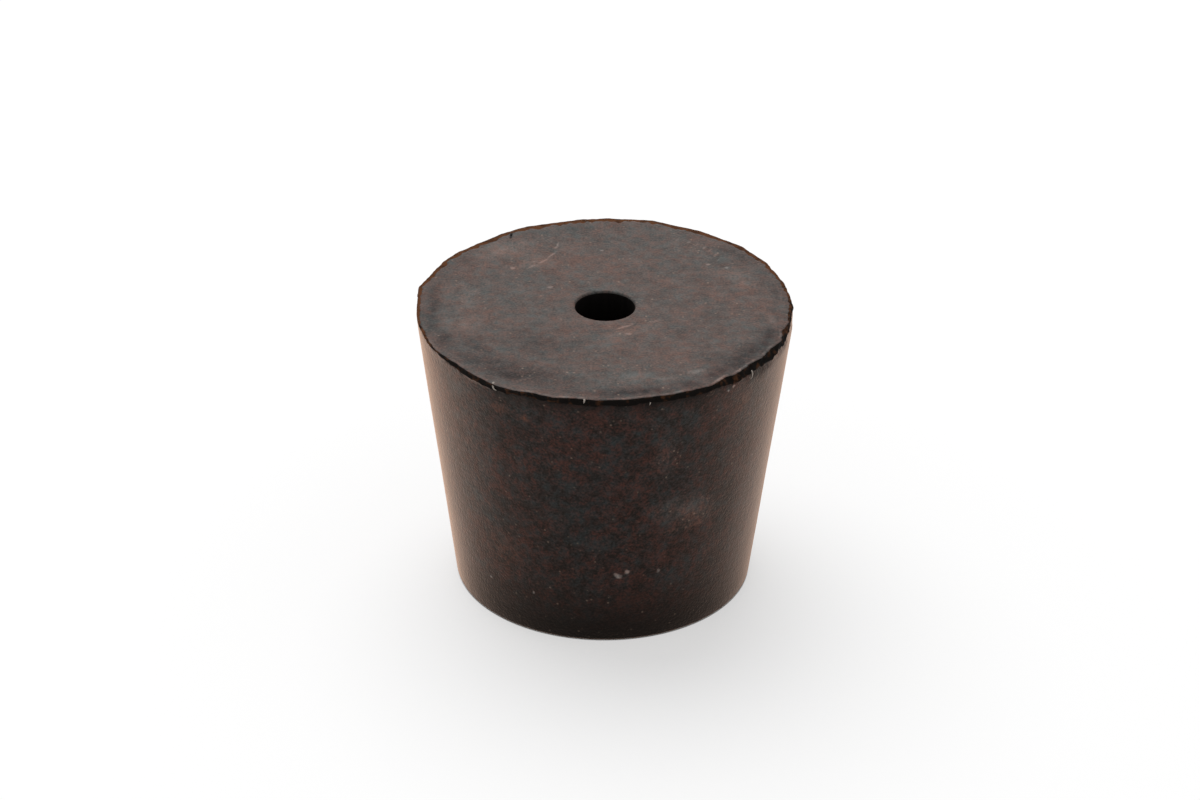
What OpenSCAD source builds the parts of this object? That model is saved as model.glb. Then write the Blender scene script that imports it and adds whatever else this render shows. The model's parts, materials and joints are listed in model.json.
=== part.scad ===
// One-hole laboratory stopper, moulded in one piece from black rubber.
// It stands on its narrow end, with the hole's axis on Z and the origin
// at the middle of the narrow end. All sizes are in millimetres.
// The mould parts at the wide end, so a thin flash is left there, and the
// flash is cut away by hand in short straight strokes of a knife.

/* [Plug] */
// Height from the narrow end to the wide end
plug_height = 25.4; // [18:0.2:45]
// Diameter of the tapered wall at the narrow end
narrow_d = 25.4; // [16:0.2:30]
// Diameter of the tapered wall at the wide end
wide_d = 32; // [28:0.2:48]
// Radius of the moulded edge round the narrow end
narrow_edge_r = 0.3; // [0.1:0.1:2]

/* [Hole] */
// Diameter of the hole, a push fit for a tube
hole_d = 5.1; // [3:0.1:12]
// Radius of the edge round each mouth of the hole
mouth_r = 0.2; // [0.1:0.1:1.5]

/* [Trimmed rim] */
// Thickness of the flash at the wide end
flash_t = 0.6; // [0.3:0.1:2]

/* [Hidden] */
$fn = 128;

narrow_r = narrow_d / 2;
wide_r = wide_d / 2;
hole_r = hole_d / 2;

// The flash is a sheet that runs out past every stroke before it is trimmed
flash_r = wide_r + 2 * flash_t;

// Each stroke of the knife: its direction from the axis in degrees, how deep
// it cuts into the wide end from the line of the wall (a negative depth leaves
// flash standing), and how far below the wide end the cut runs out of the wall.
strokes = [
    [10, 0.22, 1.05],
    [21, 0.19, 0.95],
    [34, 0.05, 0.75],
    [52, 0.05, 0.75],
    [66, 0.05, 0.75],
    [85, 0.05, 0.75],
    [97, 0.12, 0.75],
    [107, 0.28, 0.85],
    [123, 0.23, 0.85],
    [133, 0.38, 0.95],
    [145, 0.14, 0.85],
    [157, 0.17, 0.85],
    [180, 0.12, 0.75],
    [197, 0.04, 0.75],
    [209, 0.02, 0.75],
    [221, 0.05, 0.75],
    [233, -0.14, 0.75],
    [250, 0.14, 0.75],
    [263, 0.12, 0.85],
    [274, 0.15, 0.75],
    [284, 0.23, 0.85],
    [295, 0.22, 0.95],
    [309, 0.12, 0.75],
    [325, 0.52, 1.15],
    [339, 0.46, 1.05],
    [352, 0.48, 1.25],
];

// Radius of the tapered wall at a height above the narrow end
function wall_r(height) = narrow_r + (wide_r - narrow_r) * height / plug_height;

function unit(v) = v / norm(v);

// What a rounded edge takes off a corner of a flat outline: the corner less the
// circle that touches both of its sides
module corner_waste(corner, side_a, side_b, radius) {
    a = unit(side_a - corner);
    b = unit(side_b - corner);
    half_angle = acos(a * b) / 2;
    reach = radius / tan(half_angle);
    centre = corner + unit(a + b) * radius / sin(half_angle);
    difference() {
        polygon([corner, corner + a * reach, centre, corner + b * reach]);
        translate(centre) circle(radius);
    }
}

// Half of the moulded section, from the hole's wall out to the flash
module half_section() {
    lip_height = plug_height - flash_t;
    hole_foot = [hole_r, 0];
    wall_foot = [narrow_r, 0];
    wall_head = [wall_r(lip_height), lip_height];
    flash_under = [flash_r, lip_height];
    flash_top = [flash_r, plug_height];
    hole_head = [hole_r, plug_height];
    difference() {
        polygon([hole_foot, wall_foot, wall_head, flash_under, flash_top, hole_head]);
        corner_waste(hole_foot, hole_head, wall_foot, mouth_r);
        corner_waste(wall_foot, hole_foot, wall_head, narrow_edge_r);
        corner_waste(hole_head, flash_top, hole_foot, mouth_r);
    }
}

// What one stroke of the knife leaves: all that lies inside a plane that leans
// out from the cut edge at the wide end to where it leaves the wall
module kept_side(direction, depth, run_out) {
    edge_r = wide_r - depth;
    lean = max(0, atan2(wall_r(plug_height - run_out) - edge_r, run_out));
    reach = 2 * (plug_height + wide_d);
    rotate([0, 0, direction])
        translate([edge_r, 0, plug_height])
            rotate([0, -lean, 0])
                translate([-reach, -reach / 2, -reach / 2])
                    cube(reach);
}

module stopper() {
    color("#2f2926")
        intersection() {
            rotate_extrude() half_section();
            intersection_for (stroke = strokes)
                kept_side(stroke[0], stroke[1], stroke[2]);
        }
}

stopper();
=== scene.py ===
# One-hole laboratory stopper of moulded black rubber, standing on its narrow end.
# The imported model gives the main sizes. This script dresses it: the ragged knife-cut rim,
# the grey bloom and dust on the moulded skin, and the scraps that the knife left.
import json
import math

import bpy
import numpy as np
from mathutils import Matrix, Vector, noise
from mathutils.bvhtree import BVHTree


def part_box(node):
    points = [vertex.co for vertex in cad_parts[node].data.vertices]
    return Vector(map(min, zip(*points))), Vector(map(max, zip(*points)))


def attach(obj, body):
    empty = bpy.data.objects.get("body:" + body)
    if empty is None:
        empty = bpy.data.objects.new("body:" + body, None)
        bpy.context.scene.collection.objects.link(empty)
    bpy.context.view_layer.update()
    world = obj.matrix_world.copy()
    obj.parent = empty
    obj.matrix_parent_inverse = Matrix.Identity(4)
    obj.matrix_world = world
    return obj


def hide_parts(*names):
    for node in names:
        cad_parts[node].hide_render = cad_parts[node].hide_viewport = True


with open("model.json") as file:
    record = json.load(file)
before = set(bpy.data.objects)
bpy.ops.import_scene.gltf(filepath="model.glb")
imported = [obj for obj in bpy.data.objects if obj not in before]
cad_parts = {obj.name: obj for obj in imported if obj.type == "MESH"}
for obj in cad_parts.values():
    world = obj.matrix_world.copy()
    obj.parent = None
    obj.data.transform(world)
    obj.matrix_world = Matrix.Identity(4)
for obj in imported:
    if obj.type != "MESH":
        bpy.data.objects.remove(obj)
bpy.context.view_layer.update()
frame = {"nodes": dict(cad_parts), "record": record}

# Units: lengths below are millimetres and angles degrees, unless a name or comment says otherwise
MM = 0.001
FULL_TURN = 2 * math.pi

# Camera, fitted to the photograph's outline of the stopper, with its near and far limits in metres
IMAGE_W = 1200
IMAGE_H = 800
SENSOR_W = 36.0
FOCAL_PX = 4408.5
CAMERA_DISTANCE = 378.2
CAMERA_ELEVATION = 30.549
CAMERA_ROLL = 0.494
MIDDLE_PX = (604.6, 435.2)
CLIP_NEAR = 0.01
CLIP_FAR = 20.0

# Floor and light, in metres and watts, and their strengths
FLOOR_HALF = 1.5
KEY_SIZE = 1.3
KEY_PLACE = (-0.2, 0.53, 1.05)
KEY_POWER = 11.0
WORLD_FILL = 0.5
PAPER_GLOW = 0.5

# Rounded edges of the moulding, as in the part's source
MOUTH_R = 0.2
NARROW_EDGE_R = 0.3

# Rings of the mesh, from the hole's wall over the wide end and down the wall to the foot.
# The powers crowd the rings towards the rim.
TURN_STEPS = 760
BORE_STEPS = 9
MOUTH_STEPS = 6
WIDE_END_STEPS = 36
WIDE_END_CROWDING = 1.9
BAND_STEPS = 24
WALL_STEPS = 30
WALL_CROWDING = 1.25
FOOT_STEPS = 6
NARROW_END_STEPS = 8
SHARP_ANGLE = 42

# Material slots of the stopper, in the order in which its finishes are added
BLOOMED = 0
HANDLED = 1
CUT = 2
PIN_MOULDED = 3

# Sockets of Blender's colour mix node, by number
MIX_A = 6
MIX_B = 7
MIX_RESULT = 2

# Trimmed rim, by angle: how far the bare cut reaches below the edge, how far the blade slipped
# outwards, how wide the edge of the wide end is worn, how brown the cut has aged from 0 to 1,
# and how strongly the edge was turned up
CUT_HEIGHTS = [(0, 0.45), (20, 0.3), (90, 0.3), (190, 0.25), (208, 0.28), (214, 0.32), (222, 0.4),
               (228, 0.55), (233, 0.85), (238, 0.8), (242, 0.55), (258, 0.65), (264, 0.5), (272, 0.6),
               (280, 0.6), (300, 0.52), (307, 0.48), (312, 0.6), (322, 0.68), (340, 0.62), (360, 0.45)]
SLIPS = [(0, 0.05), (10, 0.0), (186, 0.0), (196, 0.12), (208, 0.15), (214, 0.0), (220, -0.08),
         (225, 0.05), (231, 0.0), (243, 0.27), (249, 0.06), (255, 0.22), (261, -0.08), (270, 0.06),
         (288, 0.02), (297, 0.08), (303, 0.1), (310, -0.3), (316, -0.02), (322, -0.02), (328, 0.2),
         (333, -0.1), (338, 0.35), (345, -0.1), (351, 0.2), (360, 0.05)]
WORN_WIDTHS = [(0, 0.22), (20, 0.32), (45, 0.5), (75, 0.62), (108, 0.62), (135, 0.5), (160, 0.34),
               (200, 0.18), (222, 0.06), (320, 0.04), (342, 0.06), (360, 0.22)]
CUT_BROWN = [(0, 0.35), (20, 0.7), (180, 0.7), (198, 0.55), (206, 0.3), (214, 0.12), (222, 0.0),
             (232, 0.0), (243, 0.12), (250, 0.05), (275, 0.0), (316, 0.0), (326, 0.15), (345, 0.2),
             (360, 0.35)]
BURRS = [(0, 0.05), (180, 0.1), (222, 0.2), (236, 0.25), (240, 0.55), (250, 0.4), (258, 0.55),
         (262, 0.3), (265, 0.5), (268, 0.3), (271, 0.15), (275, 0.6), (279, 0.3), (283, 0.5),
         (287, 0.25), (291, 0.5), (296, 0.2), (300, 0.4), (304, 0.9), (309, 1.0), (312, 0.5),
         (316, 0.9), (322, 0.4), (338, 0.35), (346, 0.2), (356, 0.1), (360, 0.05)]

# Layers of noise on the rim and the skin: the size of the lumps and the strength of each layer
CUT_BORDER_NOISE = [(2.6, 1.0), (0.9, 0.7), (0.45, 0.6)]
EDGE_NOISE = [(1.3, 1.0), (0.45, 1.0)]
BURR_NOISE = [(1.3, 0.7), (0.5, 0.6)]
WORN_NOISE = [(1.6, 0.6), (0.5, 0.5)]
TORN_NOISE = [(0.55, 0.05), (0.25, 0.03), (1.4, 0.04)]
FILM_NOISE = [(1.9, 0.5), (0.6, 0.8)]
WIDE_END_WAVES = [(3.0, 0.012), (0.8, 0.006)]
WALL_WAVES = [(7.0, 0.02)]

# Heights at which the noise along the rim is read, one for each use so that they differ
CUT_BORDER_NOISE_Z = 0.0
EDGE_NOISE_Z = 5.0
BURR_NOISE_Z = 9.0
WORN_NOISE_Z = 13.0

# Cuts: what counts as cut, the spans whose corners the rocking blade eased, the corner that it
# took off at the left, and how far below the wide end the edge is measured
CUT_FROM_WALL = 0.012
EASED_CUTS = [(184.0, 262.0), (-14.0, 14.0)]
EASED_FADE = 5.0
EASED_STEPS = 9
LEFT_CORNER = (187.0, 200.0)
LEFT_CORNER_FADE = 7.0
LEFT_CORNER_IN = 0.11
LEFT_CORNER_DEEP = 1.2
EDGE_SIGHT = 0.01

# Edge of the cut, rougher over one span, and its lower border
ROUGH_CUT = (314.0, 360.0)
EDGE_ROUGH = 0.8
EDGE_ROUGHER = 0.6
EDGE_ROUGH_FADE = 6.0
EDGE_JITTER = 0.07
EDGE_LOSS = 0.02
CUT_UNEVEN = 0.25
CUT_RAGGED = 0.05

# Face of the cut: torn lumps between its borders, a flare at the right, and brown that fades
# downwards, with a little more along both borders
CUT_ROUGH = 0.5
CUT_ROUGH_FADE = 8.0
BELLY_POWER = 0.6
TORN_IN = 0.015
FLARE = (330.0, 360.0)
FLARE_FADE = 12.0
FLARE_OUT = 0.12
FLARE_POWER = 1.6
BROWN_FADE = 0.8
BORDER_BROWN = 0.12
LEAST_BROWN_DOWN = 0.6

# Edge of the wide end: worn round, turned up in a burr, and rubbed along its border
WORN_RANGE = (0.3, 2.0)
WORN_DROP = 0.05
ROUNDED_EDGE = 0.5
BURR_EVEN = 0.8
BURR_HEIGHT = 0.035
BURR_IN = 0.17
BURR_HALF = 0.11
RUBBED_BORDER = (275.0, 335.0)
RUBBED_FADE = 20.0
BORDER_IN = 1.0
BORDER_HALF = 0.7

# Nick in the wide end at the back left
NICK_X = -8.2
NICK_END_Y = 11.6
NICK_LENGTH = 1.5
NICK_WIDTH = 0.36
NICK_DEPTH = 0.25
NICK_TIP = 0.4
NICK_OFF_RIM = 0.3
NICK_BARE = 0.5

# Film of bloom on each face, as a share of the wide end's, how it thins at the rim and towards the foot,
# and the pale film on the burr, partly dust and partly a painted highlight of the raised edge
WIDE_END_FILM = 1.0
WALL_FILM = 0.055
NARROW_END_FILM = 0.6
FILM_EVEN = 0.8
FILM_RANGE = (0.0, 1.4)
BORDER_LOSS = 0.15
FRONT_BORDER_LOSS = 0.5
ROUNDED_LOSS = 0.4
FRONT_ROUNDED_LOSS = 0.2
BURR_DUST_AND_HIGHLIGHT = 3.2
RIM_FILM = 0.3
FOOT_BARE = 1.0
FOOT_FADE = 5.5

# Lengths over which the waves of the skin die out at the mouth, the foot and the cut
MOUTH_CALM = 2.0
FOOT_CALM = 3.0
CUT_CALM = 1.2

# Sizes of the patterns in the rubber
GRAIN = 0.2
PATCHES = 1.8
DRIFT = 0.6
STRETCHES = 5.0
FLECKS = 0.8
SPECK_CELLS = 0.6
TORN_LUMPS = 0.7
CHATTER = 0.2
STREAK_GAP = 0.4
STREAK_LENGTH = 8.0
STRETCH_MARKS = 0.15
BUMP_DEPTH = 0.05
STREAK_DEPTH = 0.03

# Strengths of the patterns: middle and spread of a value are where it turns from 0 to 1
PATCH_SHARE = 0.6
DRIFT_SHARE = 0.7
AGE_MIDDLE = 1.15
AGE_SPREAD = 0.36
STRETCH_SHARE = 0.5
WARMTH_MIDDLE = 0.75
WARMTH_SPREAD = 0.2
MARK_GAIN = 1.6
MARK_RAGGED = 0.4
RUBBED_FRESH = 1.4
RUBBED_OLD = 0.6
BLOOM_LEAST = 0.45
BLOOM_ON_OLD = 0.9
BLOOM_IN_STRETCHES = 0.25
BLOOM_COVER = 0.4
SPECK_EDGE = (0.22, 0.05)
SPECK_CHOICE = (0.55, 1.0)
TORN_SHARE = 2.4
TORN_BROWN = (1.36, 2.15)
RUBBER_IOR = 1.52

# Colours of the finishes
BLACK_RUBBER = "#090706"
COOL_FILM = "#20292b"
WARM_FILM = "#40231e"
BROWN_STAIN = "#5a3526"
COOL_BLOOM = "#7b7a77"
WARM_BLOOM = "#8b7269"
DUST = "#a58d7c"
END_SHEEN = "#ffdac6"
WALL_SHEEN = "#ffcfb0"
FRESH_CUT = "#0f0c0a"
AGED_CUT = "#573621"
HOLE_BLACK = "#050404"
HOLE_STREAK = "#110d0b"
SCRAP_DARK = "#5f554e"
SCRAP_PALE_AND_GLINT = "#b9ada2"
WHITE = "#ffffff"

# Sides of the wall with a thicker film near the rim, partly dust and partly a painted sheen that lightens
# the sides: span, fade, reach below the cut, thickness
SIDE_DUST_AND_PAINTED_SHEEN = [((190.0, 220.0), 16.0, 22.0, 0.5), ((318.0, 345.0), 14.0, 7.0, 0.18)]

# Layout of the unrolled surface for the marks: middle or lower left corner of each face
MARK_CHART = {"wide_end": (0, 60), "wall": (0, 0), "narrow_end": (0, -40), "bore": (60, 45)}

# Layout of the same faces on one square for baking, with the wall in two halves
BAKE_SIDE = 88.0
BAKE_CHART = {
    "wide_end": (17.4, 16.8),
    "back_wall": (1.0, 60.8),
    "front_wall": (1.0, 33.6),
    "narrow_end": (69.0, 46.6),
    "bore": (54.0, 61.2),
}

# Marks seen on the rubber: surface, place, length, width, turn and strength.
# On the wide end the place is x and y, on the wall it is the angle and the height.
PALE_MARKS = [
    ("wide_end", -4.2, 10.6, 1.6, 0.3, 75, 0.45),
    ("wide_end", -4.6, 9.0, 1.8, 0.32, 62, 0.5),
    ("wide_end", -5.3, 7.8, 1.6, 0.35, 48, 0.35),
    ("wide_end", -6.3, 6.8, 1.6, 0.45, 40, 0.22),
    ("wide_end", -8.6, 10.0, 6.5, 4.2, 25, 0.21),
    ("wide_end", -6.4, 7.2, 4.5, 3.4, 30, 0.1),
    ("wide_end", -11.6, 1.6, 2.2, 7.0, 5, 0.1),
    ("wide_end", -11.8, -3.4, 4.4, 2.4, -20, 0.14),
    ("wide_end", -7.6, 2.2, 2.4, 5.0, 0, 0.07),
    ("wide_end", 6.2, 11.9, 0.9, 0.3, 60, 0.15),
    ("wide_end", 7.2, 11.5, 1.0, 0.3, 60, 0.24),
    ("wide_end", 7.9, 11.1, 0.8, 0.3, 60, 0.2),
    ("wide_end", 8.5, 10.5, 1.1, 0.32, 60, 0.26),
    ("wide_end", 9.0, 10.0, 0.9, 0.3, 60, 0.24),
    ("wide_end", 9.5, 9.2, 1.0, 0.34, 65, 0.2),
    ("wide_end", 9.7, 8.3, 0.9, 0.3, 65, 0.15),
    ("wide_end", 11.4, 5.0, 2.6, 5.5, 25, 0.13),
    ("wide_end", 14.0, -2.2, 0.9, 3.6, 8, 0.13),
    ("wide_end", 1.7, -3.6, 2.2, 0.35, 30, 0.45),
    ("wide_end", 4.1, -2.7, 2.0, 0.4, 28, 0.25),
    ("wide_end", 2.2, -4.4, 7.0, 1.9, 30, 0.13),
    ("wide_end", 2.0, -11.9, 5.0, 2.6, 8, 0.13),
    ("wide_end", 7.6, -11.0, 1.8, 0.9, 20, 0.3),
    ("wide_end", 5.3, -12.2, 3.6, 1.2, 15, 0.14),
    ("wide_end", -14.6, -6.4, 4.0, 0.45, -62, 0.25),
    ("wide_end", 8.8, 7.5, 0.5, 0.45, 0, 0.8),
    ("wide_end", 10.4, 7.0, 0.5, 0.5, 20, 0.6),
    ("wide_end", -0.36, 9.88, 0.5, 0.4, 30, 0.6),
    ("wide_end", -7.91, 6.46, 0.5, 0.5, 0, 0.7),
    ("wide_end", -4.7, 3.1, 0.5, 0.5, 0, 0.6),
    ("wide_end", 2.0, -4.8, 0.5, 0.5, 0, 0.7),
    ("wall", 312.0, 24.45, 0.42, 0.34, 60, 0.9),
    ("wall", 310.2, 24.2, 0.34, 0.3, 0, 0.75),
    ("wall", 224.6, 4.1, 0.42, 0.34, 0, 0.85),
    ("wall", 244.1, 4.3, 0.40, 0.34, 0, 0.85),
    ("wall", 290.1, 7.1, 0.42, 0.5, 0, 0.4),
    ("wall", 290.0, 19.2, 3.4, 6.0, 0, 0.06),
    ("wall", 287.0, 22.6, 3.4, 3.0, 0, 0.03),
    ("wall", 278.6, 7.4, 0.75, 0.5, 20, 0.8),
    ("wall", 275.4, 7.0, 1.1, 0.6, -25, 0.6),
    ("wall", 299.0, 13.0, 9.0, 4.0, -12, 0.13),
    ("wall", 299.0, 11.2, 5.4, 0.5, 2, 0.07),
]
RUBBED_MARKS = [
    ("wide_end", -8.2, 12.6, 0.26, 2.0, -4, 1.2),
    ("wide_end", -13.4, -6.4, 3.4, 2.0, -60, 0.35),
    ("wide_end", -9.6, -9.8, 10.0, 4.6, -44, 0.32),
    ("wide_end", -5.4, -12.0, 10.0, 4.6, -22, 0.36),
    ("wide_end", -5.4, -6.6, 9.0, 6.0, -20, 0.24),
    ("wide_end", 1.6, -14.4, 8.0, 1.6, 4, 0.25),
    ("wide_end", 11.0, -8.8, 9.0, 3.6, 48, 0.36),
    ("wide_end", -14.5, -0.6, 7.0, 1.8, 86, 0.42),
    ("wide_end", 11.6, 9.4, 4.6, 1.6, -50, 0.22),
    ("wide_end", -11.2, -6.2, 4.8, 2.2, -40, 0.24),
    ("wide_end", -14.3, 2.8, 3.0, 1.4, 80, 0.22),
    ("wide_end", -14.4, -3.6, 3.0, 1.4, -78, 0.22),
    ("wide_end", 14.3, 2.8, 3.2, 1.6, 100, 0.28),
    ("wide_end", 8.8, -2.0, 2.4, 3.0, 0, 0.2),
    ("wide_end", 8.8, -8.8, 3.4, 2.2, 45, 0.2),
    ("wide_end", -7.6, -12.2, 2.6, 1.6, -30, 0.24),
    ("wide_end", -10.0, -7.8, 2.6, 2.0, -40, 0.26),
    ("wide_end", -13.2, -5.6, 2.4, 1.6, -60, 0.22),
    ("wide_end", 10.3, 10.0, 2.4, 1.8, -45, 0.25),
    ("wall", 273.0, 7.3, 0.7, 0.8, 0, 0.5),
]
BROWN_MARKS = [
    ("wall", 237.0, 22.9, 2.2, 1.6, 0, 0.5),
    ("wall", 245.5, 22.6, 1.0, 0.9, 0, 0.7),
    ("wall", 318.0, 22.4, 2.2, 1.8, 20, 0.6),
    ("wall", 299.0, 11.2, 6.0, 0.9, 2, 0.5),
    ("wall", 304.0, 12.2, 5.0, 2.0, -10, 0.25),
    ("wall", 232.0, 8.0, 6.0, 5.0, 0, 0.3),
]
DUST_MARKS = [
    ("wide_end", 2.2, -4.2, 8.0, 2.6, 30, 0.45),
    ("wide_end", 5.0, -12.0, 7.0, 2.0, 12, 0.3),
    ("wide_end", 8.6, 9.6, 7.0, 3.4, -45, 0.25),
    ("wide_end", -7.0, 8.4, 7.0, 5.0, 30, 0.15),
    ("wall", 290.0, 19.2, 3.2, 6.0, 0, 0.6),
    ("wall", 300.0, 12.6, 8.0, 3.4, -10, 0.5),
    ("wall", 207.0, 19.0, 7.0, 12.0, 0, 0.4),
    ("wall", 330.0, 21.0, 7.0, 7.0, 0, 0.4),
]

# Scraps of skin that the knife left on the rim: angle and height of the root, then the
# points of the scrap from there, along the rim, outwards and up, and its thickness
SCRAPS = [
    (236.3, 25.3, [(-0.2, 0.05, 0.15), (-0.15, 0.3, -0.1), (-0.05, 0.34, -0.4), (0.3, 0.28, -0.35)], 0.11),
    (264.2, 25.42, [(0.0, -0.02, 0.05), (0.02, 0.14, -0.08), (-0.03, 0.2, -0.26)], 0.08),
    (319.4, 24.75, [(0.1, -0.04, 0.3), (0.2, 0.07, 0.02), (0.1, 0.1, -0.25), (-0.16, 0.06, -0.4)], 0.065),
    (283.5, 24.95, [(0.05, -0.05, 0.0), (0.0, 0.05, -0.1), (-0.05, 0.04, -0.2)], 0.05),
]
SCRAP_SIDES = 8
SCRAP_STEPS = 10
SCRAP_ROOT = 1.05
SCRAP_FLAT = 0.55


# Colour, noise and nodes

def linear(hex_colour):
    """A linear colour with alpha from an sRGB hex value."""
    channels = [int(hex_colour[i:i + 2], 16) / 255 for i in (1, 3, 5)]
    return [c / 12.92 if c <= 0.04045 else ((c + 0.055) / 1.055) ** 2.4 for c in channels] + [1.0]


def add_node(tree, kind, inputs=None, **settings):
    """Adds a node with its settings, and links or sets its inputs by name or number."""
    made = tree.nodes.new(kind)
    for name, value in settings.items():
        setattr(made, name, value)
    for socket, value in (inputs or {}).items():
        if isinstance(value, bpy.types.NodeSocket):
            tree.links.new(value, made.inputs[socket])
        else:
            made.inputs[socket].default_value = value
    return made


def lumps(x, y, z, size):
    """Smooth noise from -1 to 1 with lumps of a size in millimetres, at places in millimetres."""
    places = zip(np.ravel(x) / size, np.ravel(y) / size, np.ravel(z) / size)
    return np.array([noise.noise(place) for place in places]).reshape(np.shape(x))


def layered(places, layers):
    """The sum of layers of noise at places given as x, y and z."""
    return sum(strength * lumps(*places, size) for size, strength in layers)


def window(angles, span, fade):
    """1 inside a span of angles, fading to 0 on both sides of it."""
    middle = sum(span) / 2
    off = np.abs((angles - middle + 180) % 360 - 180) - (span[1] - span[0]) / 2
    return np.clip(1 - off / fade, 0, 1)


def all_round(knots):
    """Values at every angle from a list of angles and values."""
    return np.interp(ANGLES, *zip(*knots))


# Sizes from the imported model

cad_node = frame["nodes"]["stopper"]
cad_tree = BVHTree.FromPolygons(
    [vertex.co / MM for vertex in cad_node.data.vertices],
    [face.vertices[:] for face in cad_node.data.polygons],
)
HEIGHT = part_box("stopper")[1].z / MM
mounts = {mount["name"]: mount for mount in frame["record"]["mounts"]}
HOLE_R = mounts["tube_hole"]["dims"]["r_mm"]
FLAT_R = HOLE_R + MOUTH_R
ANGLES = np.arange(TURN_STEPS) * 360 / TURN_STEPS
COS = np.cos(np.radians(ANGLES))
SIN = np.sin(np.radians(ANGLES))


def cad_radius(heights):
    """Radius of the solid all round at one height per angle, from rays shot at the axis."""
    found = np.empty(TURN_STEPS)
    for step, height in enumerate(heights):
        outward = Vector((COS[step], SIN[step], 0))
        hit = cad_tree.ray_cast(outward * 2 * HEIGHT + Vector((0, 0, height)), -outward)[0]
        found[step] = math.hypot(hit.x, hit.y)
    return found


def level(height):
    """One height for every angle."""
    return np.full(TURN_STEPS, height)


LOW_SIGHT = 0.1 * HEIGHT
HIGH_SIGHT = 0.8 * HEIGHT
low_r = cad_radius(level(LOW_SIGHT)).max()
TAPER = (cad_radius(level(HIGH_SIGHT)).max() - low_r) / (HIGH_SIGHT - LOW_SIGHT)
NARROW_R = low_r - TAPER * LOW_SIGHT
WIDE_R = NARROW_R + TAPER * HEIGHT
SLANT = math.hypot(1, TAPER)


def wall_radius(heights):
    """Radius of the tapered wall before it is trimmed."""
    return NARROW_R + TAPER * heights


def trimmed_radius(heights):
    """Radius of the wall with the knife's cuts and the flash that still stands. Where the blade
    rocked, the corners between the cuts are eased."""
    off_wall = cad_radius(heights) - wall_radius(heights)
    off_wall = np.where(np.abs(off_wall) > CUT_FROM_WALL, off_wall, 0)
    steps = range(-EASED_STEPS, EASED_STEPS + 1)
    eased = np.mean([np.roll(off_wall, step) for step in steps], axis=0)
    share = np.max([window(ANGLES, span, EASED_FADE) for span in EASED_CUTS], axis=0)
    off_wall += share * (eased - off_wall)
    high = np.clip(1 - (HEIGHT - heights) / LEFT_CORNER_DEEP, 0, 1)
    corner = LEFT_CORNER_IN * high * window(ANGLES, LEFT_CORNER, LEFT_CORNER_FADE)
    return wall_radius(heights) + off_wall - corner


# The stopper's surface, as rings of radius, height, chart distance and film. The film is the
# thickness of the bloom on the moulded skin, and how brown the rubber has aged on the cut.

class Zone:
    """A run of rings on one face of the stopper. Each row is a ring, each column an angle."""

    def __init__(self, face, material, radii, heights, along, film):
        shape = (len(radii), TURN_STEPS)
        self.face = face
        self.material = material
        self.radii = np.broadcast_to(radii, shape).copy()
        self.heights = np.broadcast_to(heights, shape).copy()
        self.along = np.broadcast_to(along, shape).copy()
        self.film = np.broadcast_to(film, shape).copy()

    def places(self):
        """Where the rings lie, as x, y and z."""
        return [self.radii * COS, self.radii * SIN, self.heights]


def column(values):
    """Values as one column, so that each belongs to a ring."""
    return np.asarray(values, float)[:, None]


def bore_zone():
    """The straight wall of the hole, between its rounded mouths."""
    heights = column(np.linspace(MOUTH_R, HEIGHT - MOUTH_R, BORE_STEPS + 1))
    return Zone("bore", PIN_MOULDED, np.full_like(heights, HOLE_R), heights, heights, 0.0)


def mouth_arc(start, end):
    """Angles of the rounded mouth's section, and the arc's length from its flat side."""
    turn = column(np.radians(np.linspace(start, end, MOUTH_STEPS + 1)))
    return turn, MOUTH_R * np.abs(turn - math.radians(90))


def rim_places(radius, height):
    """Places round the rim, for noise that is read at one height."""
    return [radius * COS, radius * SIN, level(height)]


def cut_depths():
    """How far the bare cut reaches below the edge all round, with a ragged lower border."""
    ragged = layered(rim_places(WIDE_R, CUT_BORDER_NOISE_Z), CUT_BORDER_NOISE)
    return all_round(CUT_HEIGHTS) * (1 + CUT_UNEVEN * ragged) + CUT_RAGGED * ragged


def rim_edge():
    """Radius of the cut edge of the wide end, with the knife's slips, large and small."""
    edge = trimmed_radius(level(HEIGHT - EDGE_SIGHT)) + all_round(SLIPS)
    rough = EDGE_ROUGH + EDGE_ROUGHER * window(ANGLES, ROUGH_CUT, EDGE_ROUGH_FADE)
    jitter = layered(rim_places(edge, EDGE_NOISE_Z), EDGE_NOISE)
    return edge + EDGE_JITTER * rough * jitter - EDGE_LOSS * rough


def burr():
    """How strongly the knife turned up the edge, from 0 to 1 all round."""
    broken = BURR_EVEN + layered(rim_places(WIDE_R, BURR_NOISE_Z), BURR_NOISE)
    return np.clip(all_round(BURRS) * broken, 0, 1)


def nick(radii):
    """How far down the nick by the rim cuts the wide end."""
    reach = np.clip((radii * SIN - NICK_END_Y) / NICK_LENGTH, 0, 1)
    reach = reach * np.clip((radii[-1] - radii) / NICK_OFF_RIM, 0, 1)
    half = NICK_WIDTH / 2 * (NICK_TIP + (1 - NICK_TIP) * reach)
    off_middle = np.abs(radii * COS - NICK_X) / half
    return NICK_DEPTH * np.sqrt(np.clip(1 - off_middle, 0, 1)) * reach


def worn_width():
    """Width of the worn strip just inside the edge, where the bloom is gone."""
    ragged = 1 + layered(rim_places(WIDE_R, WORN_NOISE_Z), WORN_NOISE)
    return all_round(WORN_WIDTHS) * np.clip(ragged, *WORN_RANGE)


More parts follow.
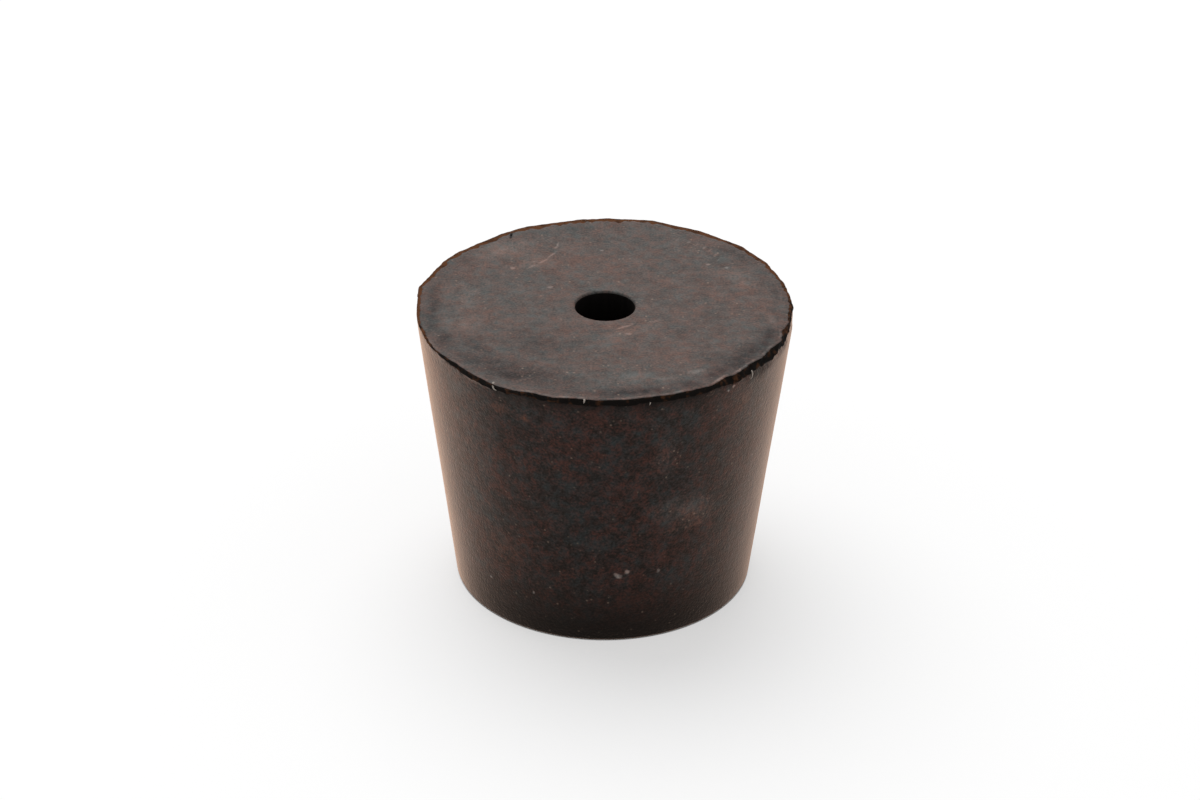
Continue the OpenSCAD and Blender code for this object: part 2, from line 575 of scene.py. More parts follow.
def wide_end_rings(edge):
    """The bare wide end: the rounded mouth of the hole, and the flat out to the edge."""
    turn, reach = mouth_arc(180, 90)
    inward = np.linspace(1, 0, WIDE_END_STEPS + 1)[1:, None] ** WIDE_END_CROWDING
    ring = np.ones(TURN_STEPS)
    mouth_r = (FLAT_R + MOUTH_R * np.cos(turn)) * ring
    mouth_z = (HEIGHT - MOUTH_R + MOUTH_R * np.sin(turn)) * ring
    flat = edge - (edge - FLAT_R) * inward
    radii = np.vstack([mouth_r, flat])
    heights = np.vstack([mouth_z, np.full(flat.shape, HEIGHT)])
    along = np.vstack([(FLAT_R - reach) * ring, flat])
    return Zone("wide_end", BLOOMED, radii, heights, along, WIDE_END_FILM)


def wide_end_zone(edge):
    """The wide end in to the hole from the worn strip: wavy, burred, nicked, and rubbed near the rim."""
    zone = wide_end_rings(edge)
    inside = edge - zone.radii
    lip = np.exp(-((inside - BURR_IN) / BURR_HALF) ** 2) * burr()
    border = np.exp(-((inside - BORDER_IN) / BORDER_HALF) ** 2)
    rounded = np.clip(1 - inside / ROUNDED_EDGE, 0, 1)
    front = window(ANGLES, RUBBED_BORDER, RUBBED_FADE)
    flat = np.clip((zone.radii - FLAT_R) / MOUTH_CALM, 0, 1)
    dent = nick(zone.radii)
    zone.heights += flat * layered(zone.places(), WIDE_END_WAVES)
    zone.heights += BURR_HEIGHT * lip - WORN_DROP * rounded ** 2 - dent
    broken = np.clip(FILM_EVEN + layered(zone.places(), FILM_NOISE), *FILM_RANGE)
    zone.film -= broken * border * (BORDER_LOSS + FRONT_BORDER_LOSS * front)
    zone.film -= rounded * (ROUNDED_LOSS + FRONT_ROUNDED_LOSS * front)
    # The burr gets a thick pale film: partly dust, partly a painted highlight along the raised edge
    zone.film = np.clip(zone.film, 0, None) + BURR_DUST_AND_HIGHLIGHT * broken * lip
    zone.film *= 1 - np.clip(dent / (NICK_BARE * NICK_DEPTH), 0, 1)
    return zone


def cut_zone(edge, top_heights, depths):
    """The bare cut: a worn strip on the edge of the wide end, and the ragged band below it."""
    parts = np.linspace(0, 1, BAND_STEPS + 1)
    radii = np.array([trimmed_radius(HEIGHT - EDGE_SIGHT - depths * part) for part in parts])
    down = column(parts)
    heights = (top_heights - WORN_DROP) * (1 - down) + (HEIGHT - depths) * down
    radii += (edge - radii[0]) * (1 - down) ** 2
    radii += FLARE_OUT * window(ANGLES, FLARE, FLARE_FADE) * np.sin(down ** FLARE_POWER * math.pi)
    torn = layered([radii * COS, radii * SIN, heights], TORN_NOISE)
    rough = CUT_ROUGH + window(ANGLES, ROUGH_CUT, CUT_ROUGH_FADE)
    belly = np.sin(down * math.pi) ** BELLY_POWER
    radii += belly * rough * (torn - TORN_IN)
    film = all_round(CUT_BROWN) * (1 - BROWN_FADE * down)
    film = film + BORDER_BROWN * np.abs(1 - down / LEAST_BROWN_DOWN)
    strip = worn_width()
    radii = np.vstack([edge - strip, radii])
    heights = np.vstack([top_heights, heights])
    film = np.vstack([film[0], film])
    along = heights * SLANT
    along[0] += strip
    return Zone("wall", CUT, radii, heights, along, film)


def foot_arc():
    """Section of the rounded foot: radii, heights, and the arc's length from the wall."""
    lean = math.atan(TAPER)
    corner = (math.pi / 2 + lean) / 2
    centre_r = NARROW_R - NARROW_EDGE_R / math.tan(corner)
    turn = column(np.linspace(-lean, -math.pi / 2, FOOT_STEPS + 1))
    radii = centre_r + NARROW_EDGE_R * np.cos(turn)
    heights = NARROW_EDGE_R + NARROW_EDGE_R * np.sin(turn)
    return radii, heights, NARROW_EDGE_R * (-lean - turn)


def wall_rings(depths):
    """The bare wall, from the cut down to the rounded foot."""
    foot_r, foot_z, foot_along = foot_arc()
    down = column(np.linspace(0, 1, WALL_STEPS + 1)) ** WALL_CROWDING
    top = HEIGHT - depths
    heights = top + (foot_z[0] - top) * down
    radii = np.array([trimmed_radius(row) for row in heights])
    ring = np.ones(TURN_STEPS)
    radii = np.vstack([radii, foot_r[1:] * ring])
    along = np.vstack([heights * SLANT, (foot_z[0] * SLANT - foot_along[1:]) * ring])
    heights = np.vstack([heights, foot_z[1:] * ring])
    return Zone("wall", HANDLED, radii, heights, along, WALL_FILM)


def wall_zone(depths):
    """The wall, slightly wavy, with a thicker film on two sides that is partly dust and partly painted
    sheen, and less film at the cut and the foot.
    """
    zone = wall_rings(depths)
    below_cut = HEIGHT - depths - zone.heights
    off_foot = np.clip(zone.heights / FOOT_CALM, 0, 1)
    off_cut = np.clip(below_cut / CUT_CALM, 0, 1)
    zone.radii += off_foot * off_cut * layered(zone.places(), WALL_WAVES)
    # Thicker film on two sides near the rim: dust, and a painted sheen that lightens those sides
    for span, fade, reach, dust in SIDE_DUST_AND_PAINTED_SHEEN:
        zone.film += dust * window(ANGLES, span, fade) * np.clip(1 - below_cut / reach, 0, 1)
    # The film thins towards the foot and just below the cut, so the wall's colour darkens towards the
    # bottom and under the rim
    zone.film *= np.clip((zone.heights - FOOT_BARE) / FOOT_FADE, 0, 1)
    zone.film *= RIM_FILM + (1 - RIM_FILM) * off_cut
    return zone


def narrow_end_zone(foot_r):
    """The flat narrow end, from the foot in to the rounded mouth of the hole."""
    turn, reach = mouth_arc(90, 180)
    flat = column(np.linspace(foot_r, FLAT_R, NARROW_END_STEPS + 1))
    radii = np.vstack([flat, FLAT_R + MOUTH_R * np.cos(turn[1:])])
    heights = np.vstack([np.zeros_like(flat), MOUTH_R - MOUTH_R * np.sin(turn[1:])])
    along = np.vstack([flat, FLAT_R - reach[1:]])
    return Zone("narrow_end", BLOOMED, radii, heights, along, NARROW_END_FILM)


def stopper_zones():
    """The whole surface as a closed run: each zone starts on the ring where the last one ends."""
    depths = cut_depths()
    edge = rim_edge()
    wide_end = wide_end_zone(edge - worn_width())
    cut = cut_zone(edge, wide_end.heights[-1], depths)
    wall = wall_zone(depths)
    narrow_end = narrow_end_zone(wall.radii[-1, 0])
    return [bore_zone(), wide_end, cut, wall, narrow_end]


def chart_points(zone, steps, layout):
    """Places of a zone's rings on a flat layout, with one more column to close the turn."""
    turn = np.radians(np.arange(TURN_STEPS + 1) * 360 / TURN_STEPS)
    along = np.concatenate([zone.along, zone.along[:, :1]], axis=1)[:, steps]
    turn = turn[steps]
    if zone.face in ("wide_end", "narrow_end"):
        x, y = layout[zone.face]
        return x + along * np.cos(turn), y + along * np.sin(turn)
    radius = HOLE_R if zone.face == "bore" else WIDE_R
    if zone.face == "wall" and "back_wall" in layout:
        front = turn[0] >= math.pi - 1e-9
        x, y = layout["front_wall" if front else "back_wall"]
        return x + (turn - (math.pi if front else 0)) * radius + 0 * along, y + along
    x, y = layout[zone.face]
    return x + turn * radius + 0 * along, y + along


def zone_corners(zone, layout):
    """Layout places of the four corners of each face, ring by ring, round the turn."""
    half = TURN_STEPS // 2
    halves = []
    for steps in (slice(0, half + 1), slice(half, TURN_STEPS + 1)):
        u, v = chart_points(zone, steps, layout)
        points = np.stack([u, v], axis=-1)
        corners = [points[:-1, :-1], points[1:, :-1], points[1:, 1:], points[:-1, 1:]]
        halves.append(np.stack(corners, axis=2))
    return np.concatenate(halves, axis=1).reshape(-1, 2)


def closed_faces(rings):
    """Faces between neighbouring rings, wound to face outwards. The last ring joins the first."""
    ring, step = np.meshgrid(np.arange(rings), np.arange(TURN_STEPS), indexing="ij")
    next_ring = (ring + 1) % rings
    next_step = (step + 1) % TURN_STEPS
    corners = [(ring, step), (next_ring, step), (next_ring, next_step), (ring, next_step)]
    return np.stack([a * TURN_STEPS + b for a, b in corners], axis=-1).reshape(-1, 4)


def stopper_mesh():
    """The closed skin, with its finish by face, its film by point and its two flat layouts."""
    zones = stopper_zones()
    radii = np.vstack([zone.radii[:-1] for zone in zones])
    heights = np.vstack([zone.heights[:-1] for zone in zones])
    film = np.vstack([zone.film[:-1] for zone in zones])
    places = np.stack([radii * COS, radii * SIN, heights], axis=-1).reshape(-1, 3) * MM
    faces = closed_faces(len(radii))
    mesh = bpy.data.meshes.new("stopper_skin")
    mesh.from_pydata(places.tolist(), [], faces.tolist())
    mesh.polygons.foreach_set("use_smooth", [True] * len(faces))
    slots = [np.full((len(zone.radii) - 1) * TURN_STEPS, zone.material) for zone in zones]
    mesh.polygons.foreach_set("material_index", np.concatenate(slots).astype(np.int32))
    attribute = mesh.attributes.new("film", "FLOAT", "POINT")
    attribute.data.foreach_set("value", film.ravel().astype(np.float32))
    for name, layout, scale in (("OFBake", BAKE_CHART, 1 / BAKE_SIDE), ("unrolled", MARK_CHART, 1.0)):
        corners = np.vstack([zone_corners(zone, layout) for zone in zones]) * scale
        layer = mesh.uv_layers.new(name=name)
        layer.uv.foreach_set("vector", corners.ravel().astype(np.float32))
    mesh.set_sharp_from_angle(angle=math.radians(SHARP_ANGLE))
    mesh.update()
    return mesh


# Finishes

def new_material(name):
    """A material with nothing set but rubber's IOR, its node tree and its Principled shader."""
    material = bpy.data.materials.new(name)
    material.use_nodes = True
    tree = material.node_tree
    tree.nodes.clear()
    shader = add_node(tree, "ShaderNodeBsdfPrincipled", {"IOR": RUBBER_IOR})
    add_node(tree, "ShaderNodeOutputMaterial", {"Surface": shader.outputs["BSDF"]})
    return material, tree, shader


def set_surface(tree, shader, gloss, roughness, relief, strength, depth):
    """The feel of the surface: roughness that follows one pattern between two values, and bumps that
    follow another, of a depth in millimetres."""
    rough = add_node(
        tree,
        "ShaderNodeMapRange",
        {"Value": gloss, "To Min": roughness[0], "To Max": roughness[1]},
    )
    tree.links.new(rough.outputs[0], shader.inputs["Roughness"])
    bump = add_node(
        tree,
        "ShaderNodeBump",
        {"Height": relief, "Strength": strength, "Distance": depth * MM},
    )
    tree.links.new(bump.outputs["Normal"], shader.inputs["Normal"])


def millimetres(tree):
    """The place on the object in millimetres, for patterns that run through the rubber."""
    place = add_node(tree, "ShaderNodeTexCoord")
    scaled = {0: place.outputs["Object"], "Scale": 1 / MM}
    return add_node(tree, "ShaderNodeVectorMath", scaled, operation="SCALE").outputs["Vector"]


def chart_place(surface, a, b):
    """Where a mark lies on the unrolled surface."""
    x, y = MARK_CHART[surface]
    if surface == "wide_end":
        return x + a, y + b
    return x + math.radians(a) * WIDE_R, y + b * SLANT


def marks(tree, chart, mark_list):
    """The sum of soft patches at the places in a list of marks."""
    total = 0.0
    for surface, a, b, length, width, turn, strength in mark_list:
        x, y = chart_place(surface, a, b)
        patch = add_node(
            tree,
            "ShaderNodeMapping",
            {
                "Vector": chart,
                "Location": (x, y, 0),
                "Rotation": (0, 0, math.radians(turn)),
                "Scale": (length / 2, width / 2, 1),
            },
            vector_type="TEXTURE",
        )
        soft = add_node(
            tree,
            "ShaderNodeTexGradient",
            {"Vector": patch.outputs["Vector"]},
            gradient_type="SPHERICAL",
        )
        added = {0: soft.outputs["Fac"], 1: MARK_GAIN * strength, 2: total}
        total = add_node(tree, "ShaderNodeMath", added, operation="MULTIPLY_ADD").outputs[0]
    return total


def skin_age(tree, place, drift, mottling):
    """How aged the skin is: the raw pattern, and the share of old skin from 0 to 1."""
    # Grain of older and fresher skin, finer than shows from here, so drawn coarser
    grain = add_node(
        tree,
        "ShaderNodeTexNoise",
        {"Vector": place, "Scale": 1 / GRAIN, "Detail": 1.0, "Roughness": 0.6},
    )
    patches = add_node(tree, "ShaderNodeTexNoise", {"Vector": place, "Scale": 1 / PATCHES, "Detail": 2.0})
    aged = add_node(
        tree,
        "ShaderNodeMath",
        {0: patches.outputs["Fac"], 1: PATCH_SHARE, 2: grain.outputs["Fac"]},
        operation="MULTIPLY_ADD",
    )
    aged = add_node(
        tree,
        "ShaderNodeMath",
        {0: drift.outputs["Fac"], 1: DRIFT_SHARE, 2: aged.outputs[0]},
        operation="MULTIPLY_ADD",
    )
    old_skin = add_node(
        tree,
        "ShaderNodeMapRange",
        {
            "Value": aged.outputs[0],
            "From Min": AGE_MIDDLE - AGE_SPREAD / mottling,
            "From Max": AGE_MIDDLE + AGE_SPREAD / mottling,
        },
    )
    return aged.outputs[0], old_skin.outputs[0]


def fleck_warmth(tree, place, stretches, mottling):
    """Warmer and cooler flecks, in warmer and cooler stretches, from 0 to 1."""
    flecks = add_node(
        tree,
        "ShaderNodeTexNoise",
        {"Vector": place, "Scale": 1 / FLECKS, "Detail": 3.0, "Roughness": 0.75},
    )
    warmth = add_node(
        tree,
        "ShaderNodeMath",
        {0: stretches, 1: STRETCH_SHARE, 2: flecks.outputs["Fac"]},
        operation="MULTIPLY_ADD",
    )
    ranged = add_node(
        tree,
        "ShaderNodeMapRange",
        {
            "Value": warmth.outputs[0],
            "From Min": WARMTH_MIDDLE - WARMTH_SPREAD / mottling,
            "From Max": WARMTH_MIDDLE + WARMTH_SPREAD / mottling,
        },
    )
    return ranged.outputs[0]


def ragged_chart(tree, drift):
    """The unrolled surface that the marks keep to, shifted a little to make their outlines ragged."""
    chart = add_node(tree, "ShaderNodeUVMap", uv_map="unrolled")
    middled = add_node(
        tree,
        "ShaderNodeVectorMath",
        {0: drift.outputs["Color"], 1: (0.5, 0.5, 0.5)},
        operation="SUBTRACT",
    )
    ragged = add_node(
        tree,
        "ShaderNodeVectorMath",
        {0: middled.outputs["Vector"], 1: (MARK_RAGGED, MARK_RAGGED, 0.0), 2: chart.outputs["UV"]},
        operation="MULTIPLY_ADD",
    )
    return ragged.outputs["Vector"]


def unrubbed(tree, chart, old_skin):
    """The share of film and bloom that rubbing has left. Fresher skin loses more of it."""
    fresher = add_node(
        tree,
        "ShaderNodeMapRange",
        {"Value": old_skin, "To Min": RUBBED_FRESH, "To Max": RUBBED_OLD},
    )
    rubbed = marks(tree, chart, RUBBED_MARKS)
    worn = add_node(tree, "ShaderNodeMath", {0: rubbed, 1: fresher.outputs[0]}, operation="MULTIPLY")
    kept = add_node(
        tree,
        "ShaderNodeMath",
        {0: 1.0, 1: worn.outputs[0]},
        operation="SUBTRACT",
        use_clamp=True,
    )
    return kept.outputs[0]


def filmed_rubber(tree, thick, old_skin, warmth, kept):
    """Black rubber with a thin film on its older skin. A film as thick as the wall's covers fully."""
    film = add_node(
        tree,
        "ShaderNodeMapRange",
        {"Value": thick, "From Max": WALL_FILM, "To Max": 1.0},
    )
    share = film.outputs[0]
    for part in (old_skin, kept):
        share = add_node(tree, "ShaderNodeMath", {0: share, 1: part}, operation="MULTIPLY").outputs[0]
    colour = add_node(
        tree,
        "ShaderNodeMix",
        {0: warmth, MIX_A: linear(COOL_FILM), MIX_B: linear(WARM_FILM)},
        data_type="RGBA",
    )
    skin = add_node(
        tree,
        "ShaderNodeMix",
        {0: share, MIX_A: linear(BLACK_RUBBER), MIX_B: colour.outputs[MIX_RESULT]},
        data_type="RGBA",
    )
    return skin.outputs[MIX_RESULT]


def stained(tree, chart, old_skin, skin):
    """Brown stains over the skin."""
    brown = marks(tree, chart, BROWN_MARKS)
    stain = add_node(
        tree,
        "ShaderNodeMath",
        {0: brown, 1: old_skin},
        operation="MULTIPLY",
        use_clamp=True,
    )
    colour = add_node(
        tree,
        "ShaderNodeMix",
        {0: stain.outputs[0], MIX_A: skin, MIX_B: linear(BROWN_STAIN)},
        data_type="RGBA",
    )
    return colour.outputs[MIX_RESULT]


def bloom_cover(tree, chart, thick, old_skin, stretches, kept):
    """How much bloom covers the skin: thicker where the mesh says so, broken by the patches, rubbed
    off in places and scuffed pale in others."""
    broken = add_node(
        tree,
        "ShaderNodeMath",
        {0: old_skin, 1: BLOOM_ON_OLD, 2: BLOOM_LEAST},
        operation="MULTIPLY_ADD",
    )
    broken = add_node(
        tree,
        "ShaderNodeMath",
        {0: stretches, 1: BLOOM_IN_STRETCHES, 2: broken.outputs[0]},
        operation="MULTIPLY_ADD",
    )
    left = thick
    for part in (broken.outputs[0], kept):
        left = add_node(tree, "ShaderNodeMath", {0: left, 1: part}, operation="MULTIPLY").outputs[0]
    pale = marks(tree, chart, PALE_MARKS)
    scuffed = add_node(tree, "ShaderNodeMath", {0: pale, 1: broken.outputs[0]}, operation="MULTIPLY")
    cover = add_node(
        tree,
        "ShaderNodeMath",
        {0: left, 1: BLOOM_COVER, 2: scuffed.outputs[0]},
        operation="MULTIPLY_ADD",
        use_clamp=True,
    )
    return cover.outputs[0]


def bloomed(tree, cover, warmth, skin):
    """Grey to brown bloom over the skin."""
    colour = add_node(
        tree,
        "ShaderNodeMix",
        {0: warmth, MIX_A: linear(COOL_BLOOM), MIX_B: linear(WARM_BLOOM)},
        data_type="RGBA",
    )
    covered = add_node(
        tree,
        "ShaderNodeMix",
        {0: cover, MIX_A: skin, MIX_B: colour.outputs[MIX_RESULT]},
        data_type="RGBA",
    )
    return covered.outputs[MIX_RESULT]


def specked(tree, place, chart, specks, skin):
    """Dust specks over the skin, finer than shows, so drawn about 0.2 mm across. They lie in some of
    the pattern's cells, and in more of them where the dust has gathered."""
    cells = add_node(tree, "ShaderNodeTexVoronoi", {"Vector": place, "Scale": 1 / SPECK_CELLS})
    edge = add_node(
        tree,
        "ShaderNodeMapRange",
        {"Value": cells.outputs["Distance"], "From Min": SPECK_EDGE[0], "From Max": SPECK_EDGE[1]},
    )
    gathered = add_node(
        tree,
        "ShaderNodeMath",
        {0: marks(tree, chart, DUST_MARKS), 1: cells.outputs["Color"]},
        operation="ADD",
    )
    chosen = add_node(
        tree,
        "ShaderNodeMapRange",
        {
            "Value": gathered.outputs[0],
            "From Min": SPECK_CHOICE[0],
            "From Max": SPECK_CHOICE[1],
            "To Max": specks,
        },
    )
    speck = add_node(
        tree,
        "ShaderNodeMath",
        {0: edge.outputs[0], 1: chosen.outputs[0]},
        operation="MULTIPLY",
    )
    colour = add_node(
        tree,
        "ShaderNodeMix",
        {0: speck.outputs[0], MIX_A: skin, MIX_B: linear(DUST)},
        data_type="RGBA",
    )
    return colour.outputs[MIX_RESULT]


def moulded_skin(name, mottling, specks):
    """Black rubber from a plain steel mould, years old: a matte dark brown-black skin under a
    grey-brown bloom and dust, mottled more or less, with cooler and warmer flecks, dust specks
    and the marks of handling."""
    material, tree, shader = new_material(name)
    place = millimetres(tree)
    drift = add_node(tree, "ShaderNodeTexNoise", {"Vector": place, "Scale": 1 / DRIFT, "Detail": 3.0})
    wide = add_node(tree, "ShaderNodeTexNoise", {"Vector": place, "Scale": 1 / STRETCHES, "Detail": 2.0})
    stretches = wide.outputs["Fac"]
    thick = add_node(tree, "ShaderNodeAttribute", attribute_name="film").outputs["Fac"]
    aged, old_skin = skin_age(tree, place, drift, mottling)
    warmth = fleck_warmth(tree, place, stretches, mottling)
    chart = ragged_chart(tree, drift)
    kept = unrubbed(tree, chart, old_skin)
    cover = bloom_cover(tree, chart, thick, old_skin, stretches, kept)
    skin = filmed_rubber(tree, thick, old_skin, warmth, kept)
    skin = stained(tree, chart, old_skin, skin)
    skin = bloomed(tree, cover, warmth, skin)
    skin = specked(tree, place, chart, specks, skin)
    tree.links.new(skin, shader.inputs["Base Color"])
    # Bloom scatters light, so the skin is rougher where it is thick
    set_surface(tree, shader, cover, (0.3, 0.85), aged, 0.65, BUMP_DEPTH)
    return material, shader


def bloomed_rubber():
    """The two ends, which no neck rubs: the bloom lies thick and dusty on them and dulls them."""
    material, shader = moulded_skin("bloomed_black_rubber", 1.0, 0.75)
    shader.inputs["Specular IOR Level"].default_value = 0.05
    shader.inputs["Sheen Weight"].default_value = 0.22
    shader.inputs["Sheen Roughness"].default_value = 0.25
    shader.inputs["Sheen Tint"].default_value = linear(END_SHEEN)
    return material


def handled_rubber():
    """The wall, which necks and fingers have rubbed: nearly black from the front, with a thin
    brown film that shines at the sides."""
    material, shader = moulded_skin("handled_black_rubber", 1.5, 0.36)
    shader.inputs["Specular IOR Level"].default_value = 0.06
    shader.inputs["Sheen Weight"].default_value = 1.0
    shader.inputs["Sheen Roughness"].default_value = 0.36
    shader.inputs["Sheen Tint"].default_value = linear(WALL_SHEEN)
    return material


def knife_cut_rubber():
    """The same rubber, bared by the knife and never handled: dull black with brown smears, and
    torn along the stroke, so it sends almost no light back."""
    material, tree, shader = new_material("knife_cut_rubber")
    place = millimetres(tree)
    # Torn lumps, browner where the cut has aged
    torn = add_node(tree, "ShaderNodeTexNoise", {"Vector": place, "Scale": 1 / TORN_LUMPS, "Detail": 4.0})
    aged = add_node(tree, "ShaderNodeAttribute", attribute_name="film")
    brown = add_node(
        tree,
        "ShaderNodeMath",
        {0: torn.outputs["Fac"], 1: TORN_SHARE, 2: aged.outputs["Fac"]},
        operation="MULTIPLY_ADD",
    )
    brown = add_node(
        tree,
        "ShaderNodeMapRange",
        {"Value": brown.outputs[0], "From Min": TORN_BROWN[0], "From Max": TORN_BROWN[1]},
    )
    colour = add_node(
        tree,
        "ShaderNodeMix",
        {0: brown.outputs[0], MIX_A: linear(FRESH_CUT), MIX_B: linear(AGED_CUT)},
        data_type="RGBA",
    )
    tree.links.new(colour.outputs[MIX_RESULT], shader.inputs["Base Color"])
    # Chatter of the blade
    chatter = add_node(tree, "ShaderNodeTexNoise", {"Vector": place, "Scale": 1 / CHATTER, "Detail": 2.0})
    feel = chatter.outputs["Fac"]
    set_surface(tree, shader, feel, (0.7, 0.95), feel, 0.6, BUMP_DEPTH)
    shader.inputs["Specular IOR Level"].default_value = 0.05
    return material


def pin_moulded_rubber():
    """The wall of the hole, moulded on a polished pin that was drawn out along it: smooth, clean
    and black, with faint streaks."""
    material, tree, shader = new_material("pin_moulded_rubber")
    place = millimetres(tree)
    # Streaks along the hole
    stretched = add_node(
        tree,
        "ShaderNodeVectorMath",
        {0: place, 1: (1 / STREAK_GAP, 1 / STREAK_GAP, 1 / STREAK_LENGTH)},
        operation="MULTIPLY",
    )
    streaks = add_node(
        tree,
        "ShaderNodeTexNoise",
        {"Vector": stretched.outputs["Vector"], "Scale": 1.0, "Detail": 3.0},
    )
    colour = add_node(
        tree,
        "ShaderNodeMix",
        {0: streaks.outputs["Fac"], MIX_A: linear(HOLE_BLACK), MIX_B: linear(HOLE_STREAK)},
        data_type="RGBA",
    )
    tree.links.new(colour.outputs[MIX_RESULT], shader.inputs["Base Color"])
    feel = streaks.outputs["Fac"]
    set_surface(tree, shader, feel, (0.45, 0.65), feel, 0.3, STREAK_DEPTH)
    shader.inputs["Specular IOR Level"].default_value = 0.1
    return material


def torn_skin():
    """A scrap of bloomed skin, thin enough to turn pale where it is stretched; the pale colour also paints
    the glint of light that the scrap catches.
    """
    material, tree, shader = new_material("torn_rubber_skin")
    place = millimetres(tree)
    stretch = add_node(
        tree,
        "ShaderNodeTexNoise",
        {"Vector": place, "Scale": 1 / STRETCH_MARKS, "Detail": 2.0},
    )
    # Pale where stretched: thin skin, and a painted glint of light on the scrap
    colour = add_node(
        tree,
        "ShaderNodeMix",
        {0: stretch.outputs["Fac"], MIX_A: linear(SCRAP_DARK), MIX_B: linear(SCRAP_PALE_AND_GLINT)},
        data_type="RGBA",
    )
    tree.links.new(colour.outputs[MIX_RESULT], shader.inputs["Base Color"])
    rough = add_node(
        tree,
        "ShaderNodeMapRange",
        {"Value": stretch.outputs["Fac"], "To Min": 0.5, "To Max": 0.8},
    )
    tree.links.new(rough.outputs[0], shader.inputs["Roughness"])
    return material


# Pieces

def make_stopper():
    """The stopper's skin, which stands for the CAD node."""
    piece = bpy.data.objects.new("moulded_stopper", stopper_mesh())
    bpy.context.collection.objects.link(piece)
    for finish in (bloomed_rubber, handled_rubber, knife_cut_rubber, pin_moulded_rubber):
        piece.data.materials.append(finish())
    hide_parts("stopper")
    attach(piece, "root")


def scrap_path(angle, height, points):
    """Smooth points of a scrap, from its root on the rim to its tip, and the way out from there."""
    turn = math.radians(angle)
    outward = Vector((math.cos(turn), math.sin(turn), 0))
    along = Vector((-math.sin(turn), math.cos(turn), 0))
    root = outward * wall_radius(height) + Vector((0, 0, height))
    stops = [root + along * a + outward * b + Vector((0, 0, c)) for a, b, c in points]
    path = []
    for step in range(SCRAP_STEPS + 1):
        between = stops
        while len(between) > 1:
            between = [p.lerp(q, step / SCRAP_STEPS) for p, q in zip(between, between[1:])]
        path.append(between[0])
    return path, outward


def scrap_points(path, outward, thickness):
    """Rings of points along a scrap, flat across the rim and drawn out to a point."""
    places = []
    for step, middle in enumerate(path):
        before = path[max(step - 1, 0)]
        after = path[min(step + 1, SCRAP_STEPS)]
        side = (after - before).cross(outward).normalized()
        half = thickness * (SCRAP_ROOT - (step / SCRAP_STEPS) ** 2)
        for turn in range(SCRAP_SIDES):
            swing = FULL_TURN * turn / SCRAP_SIDES
            offset = side * math.cos(swing) * half + outward * math.sin(swing) * half * SCRAP_FLAT
            places.append((middle + offset) * MM)
    return places


def scrap_faces(first):
    """Faces of a closed scrap whose points start at a number, wound to face outwards."""
    faces = []
    for step in range(SCRAP_STEPS):
        near = first + step * SCRAP_SIDES
        far = near + SCRAP_SIDES
        for turn in range(SCRAP_SIDES):
            beside = (turn + 1) % SCRAP_SIDES
            faces.append((near + turn, far + turn, far + beside, near + beside))
    last = first + SCRAP_STEPS * SCRAP_SIDES
    faces.append([first + turn for turn in range(SCRAP_SIDES)])
    faces.append([last + turn for turn in reversed(range(SCRAP_SIDES))])
    return faces


def make_scraps():
    """The scraps that the knife left, as closed slivers."""
    places = []
    faces = []
    for angle, height, points, thickness in SCRAPS:
        path, outward = scrap_path(angle, height, points)
        faces += scrap_faces(len(places))
        places += scrap_points(path, outward, thickness)
    mesh = bpy.data.meshes.new("rim_scraps")
    mesh.from_pydata(places, [], faces)
    mesh.polygons.foreach_set("use_smooth", [True] * len(faces))
    mesh.materials.append(torn_skin())
    piece = bpy.data.objects.new("rim_scraps", mesh)
    bpy.context.collection.objects.link(piece)
    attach(piece, "root")


# Floor, light and camera

def seen_directly(tree):
    """1 for rays from the camera, from reflections and through glass, and 0 for the rest."""
    path = add_node(tree, "ShaderNodeLightPath").outputs
    seen = path["Is Camera Ray"]
    for ray in ("Is Glossy Ray", "Is Transmission Ray"):
        seen = add_node(tree, "ShaderNodeMath", {0: seen, 1: path[ray]}, operation="MAXIMUM").outputs[0]
    return seen


def white_paper():
    """Matte white paper, a little overexposed: it is white where it lies in the open, and keeps a
    light shadow round the stopper. Under the stopper it is dark, as seen through the hole."""
    material = bpy.data.materials.new("white_paper")
    material.use_nodes = True
    tree = material.node_tree
    tree.nodes.clear()
    place = add_node(tree, "ShaderNodeTexCoord")
    reach = add_node(
        tree,
        "ShaderNodeVectorMath",
        {0: place.outputs["Object"]},
        operation="LENGTH",
    )
    open_paper = add_node(
        tree,
        "ShaderNodeMath",
        {0: reach.outputs["Value"], 1: NARROW_R * MM},
        operation="GREATER_THAN",
    )
    glow = add_node(
        tree,
        "ShaderNodeMath",
        {0: open_paper.outputs[0], 1: seen_directly(tree)},
        operation="MULTIPLY",
    )
    share = add_node(tree, "ShaderNodeMath", {0: glow.outputs[0], 1: PAPER_GLOW}, operation="MULTIPLY")
    paper = add_node(tree, "ShaderNodeBsdfDiffuse", {"Color": linear(WHITE)})
    white = add_node(tree, "ShaderNodeEmission", {"Color": linear(WHITE), "Strength": 1.0})
    shown = add_node(
        tree,
        "ShaderNodeMixShader",
        {0: share.outputs[0], 1: paper.outputs[0], 2: white.outputs[0]},
    )
    add_node(tree, "ShaderNodeOutputMaterial", {"Surface": shown.outputs[0]})
    return material


def make_floor():
    """A plain sheet of paper, far wider than the view."""
    corners = [(-1, -1), (1, -1), (1, 1), (-1, 1)]
    mesh = bpy.data.meshes.new("paper_floor")
    mesh.from_pydata([(x * FLOOR_HALF, y * FLOOR_HALF, 0) for x, y in corners], [], [(0, 1, 2, 3)])
    mesh.materials.append(white_paper())
    floor = bpy.data.objects.new("paper_floor", mesh)
    bpy.context.collection.objects.link(floor)


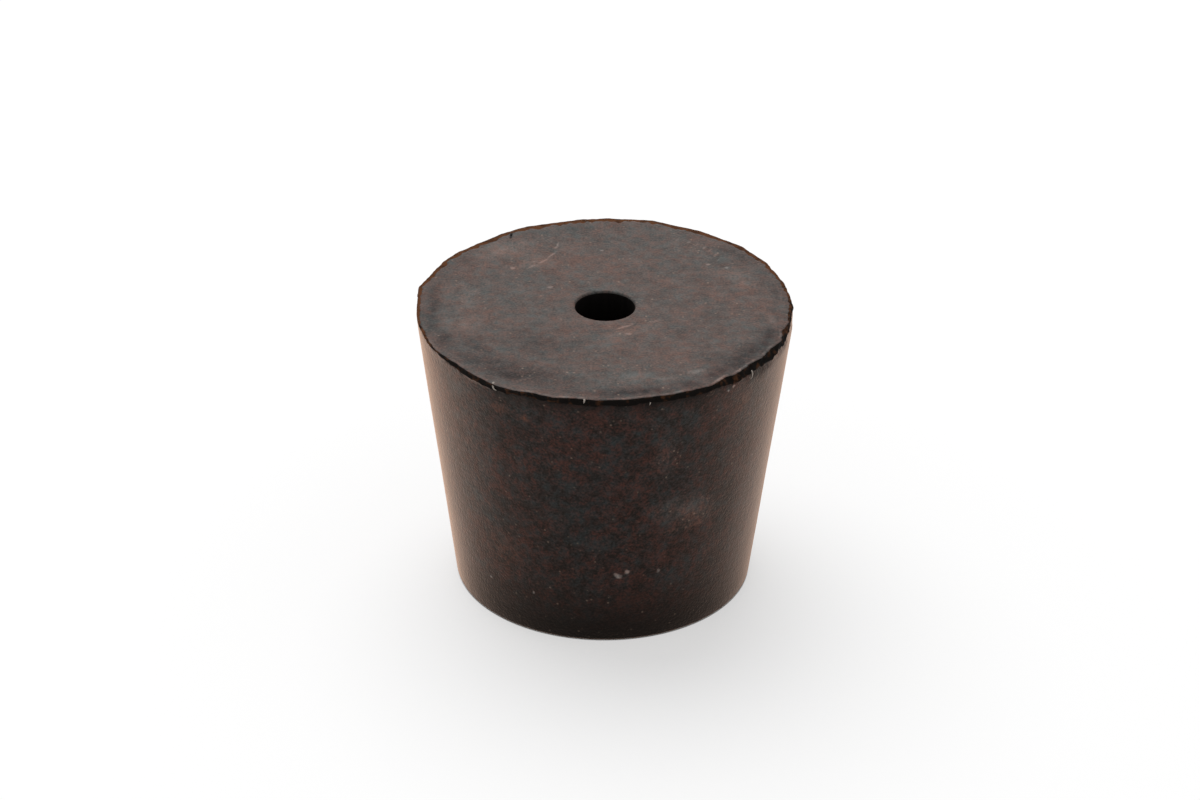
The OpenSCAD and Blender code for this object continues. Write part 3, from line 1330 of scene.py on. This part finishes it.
def make_world():
    """White all round to look at and in reflections, and an even fill for everything else."""
    world = bpy.data.worlds.new("studio")
    bpy.context.scene.world = world
    world.use_nodes = True
    tree = world.node_tree
    tree.nodes.clear()
    strength = add_node(
        tree,
        "ShaderNodeMapRange",
        {"Value": seen_directly(tree), "To Min": WORLD_FILL, "To Max": 1.0},
    )
    white = add_node(
        tree,
        "ShaderNodeBackground",
        {"Color": linear(WHITE), "Strength": strength.outputs[0]},
    )
    add_node(tree, "ShaderNodeOutputWorld", {"Surface": white.outputs[0]})


def make_key():
    """One wide soft lamp, above and behind."""
    lamp = bpy.data.lights.new("overhead_softbox", "AREA")
    lamp.shape = "DISK"
    lamp.size = KEY_SIZE
    lamp.energy = KEY_POWER
    key = bpy.data.objects.new("overhead_softbox", lamp)
    key.location = KEY_PLACE
    key.rotation_euler = (-key.location).to_track_quat("-Z", "Y").to_euler()
    bpy.context.collection.objects.link(key)


def make_camera():
    """The photograph's view: long lens, looking down at the stopper, with a slight roll."""
    lens = bpy.data.cameras.new("photo_camera")
    lens.sensor_fit = "HORIZONTAL"
    lens.sensor_width = SENSOR_W
    lens.lens = FOCAL_PX * SENSOR_W / IMAGE_W
    lens.clip_start = CLIP_NEAR
    lens.clip_end = CLIP_FAR
    elevation = math.radians(CAMERA_ELEVATION)
    roll = math.radians(CAMERA_ROLL)
    right_px = MIDDLE_PX[0] - IMAGE_W / 2
    down_px = MIDDLE_PX[1] - IMAGE_H / 2
    yaw = math.atan((right_px * math.cos(roll) + down_px * math.sin(roll)) / FOCAL_PX)
    lift = math.atan((down_px * math.cos(roll) - right_px * math.sin(roll)) / FOCAL_PX)
    back = Vector((0, -math.cos(elevation), math.sin(elevation)))
    place = Vector((0, 0, HEIGHT / 2)) + back * CAMERA_DISTANCE
    aim = Matrix.Rotation(yaw, 4, "Z") @ Matrix.Rotation(math.pi / 2 - elevation + lift, 4, "X")
    camera = bpy.data.objects.new("photo_camera", lens)
    camera.matrix_world = Matrix.Translation(place * MM) @ aim @ Matrix.Rotation(roll, 4, "Z")
    bpy.context.collection.objects.link(camera)
    bpy.context.scene.camera = camera


make_stopper()
make_scraps()
make_floor()
make_world()
make_key()
make_camera()
bpy.context.scene.view_settings.view_transform = "Standard"

bpy.context.view_layer.update()
